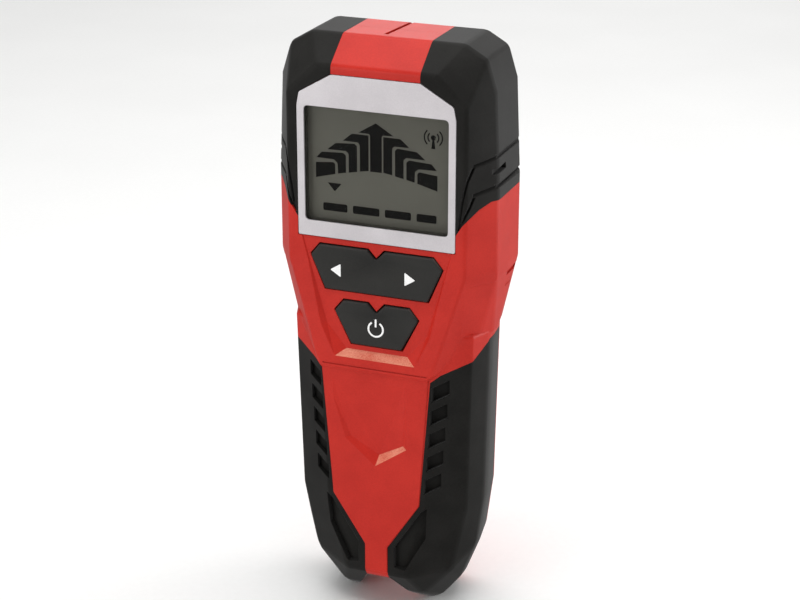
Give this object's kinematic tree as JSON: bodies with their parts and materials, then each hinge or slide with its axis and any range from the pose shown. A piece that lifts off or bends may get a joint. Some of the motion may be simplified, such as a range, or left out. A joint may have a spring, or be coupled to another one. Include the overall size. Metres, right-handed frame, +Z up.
{
  "type": "stud finder",
  "caption": "Hand-held wall scanner with an LCD, a rocking arrow key, a power key, rubber bumpers and grips, and a battery door in its back.",
  "frame": {"origin": "centre of the base: the middle of the bounding box in X and Y, on the surface the tool stands on", "axes": "+Z runs up the length to the head, -Y is the screen side, +Y is the flat sensing back, +X is the viewer's right when looking at the screen"},
  "size_m": [0.063, 0.031, 0.165],
  "materials": {
    "red_abs": "moulded, fine spark texture",
    "black_rubber": "matt over-moulded elastomer",
    "silver_paint": "satin silver paint on plastic",
    "clear_window": "clear polished plastic",
    "lcd": "grey-green liquid crystal cell",
    "white_plastic": "moulded",
    "key_plastic": "moulded, satin",
    "contact_rubber": "striped conductive silicone",
    "circuit_board": "solder mask",
    "chip_plastic": "moulded epoxy",
    "switch_plastic": "moulded",
    "copper": "bare copper",
    "ferrite": "sintered",
    "battery_shell": "printed steel can",
    "snap_plastic": "moulded",
    "red_insulation": "extruded",
    "black_insulation": "extruded",
    "foam": "closed-cell foam",
    "steel": "zinc plated"
  },
  "bodies": {
    "housing": {"front_housing": "red_abs", "rear_housing": "red_abs", "head_bumper_left": "black_rubber", "head_bumper_right": "black_rubber", "grip_left": "black_rubber", "grip_right": "black_rubber", "display_bezel": "silver_paint", "display_lens": "clear_window", "lcd_glass": "lcd", "lcd_frame": "white_plastic", "lcd_backlight": "white_plastic", "zebra_strips": "contact_rubber", "switch_bodies": "chip_plastic", "main_board": "circuit_board", "control_chip": "chip_plastic", "small_chips": "chip_plastic", "buzzer": "chip_plastic", "sensor_board": "circuit_board", "sensor_plates": "copper", "detector_coil": "copper", "coil_core": "ferrite", "board_header": "copper", "battery": "battery_shell", "battery_snap": "snap_plastic", "positive_lead": "red_insulation", "negative_lead": "black_insulation", "housing_screws": "steel", "board_screws": "steel"},
    "arrow_key": {"arrow_key": "key_plastic"},
    "power_key": {"power_key": "key_plastic"},
    "left_plunger": {"left_plunger": "switch_plastic"},
    "right_plunger": {"right_plunger": "switch_plastic"},
    "power_plunger": {"power_plunger": "switch_plastic"},
    "battery_door": {"battery_door": "red_abs", "battery_pad": "foam"}
  },
  "joints": [
    {"name": "arrow_key_rock", "type": "hinge", "parent": "housing", "child": "arrow_key", "pos_m": [0, -0.01, 0.102], "axis": [0, 0, 1], "range_deg": [-2, 2], "stiffness_Nm_per_rad": 1.2},
    {"name": "power_key_press", "type": "slide", "parent": "housing", "child": "power_key", "axis": [0, 1, 0], "range_m": [0, 0.0008], "stiffness_N_per_m": 900},
    {"name": "right_plunger_slide", "type": "slide", "parent": "housing", "child": "right_plunger", "axis": [0, 1, 0], "range_m": [-0.0006, 0.0006]},
    {"name": "left_plunger_slide", "type": "slide", "parent": "housing", "child": "left_plunger", "axis": [0, 1, 0], "range_m": [-0.0006, 0.0006]},
    {"name": "power_plunger_slide", "type": "slide", "parent": "housing", "child": "power_plunger", "axis": [0, 1, 0], "range_m": [0, 0.0009]},
    {"name": "battery_door_hinge", "type": "hinge", "parent": "housing", "child": "battery_door", "pos_m": [0, 0.0138, 0.0102], "axis": [-1, 0, 0], "range_deg": [0, 80]}
  ],
  "couplings": [
    {"joint": "right_plunger_slide", "follows": "arrow_key_rock", "m_per_rad": 0.0125},
    {"joint": "left_plunger_slide", "follows": "arrow_key_rock", "m_per_rad": -0.0125},
    {"joint": "power_plunger_slide", "follows": "power_key_press", "ratio": 1}
  ]
}
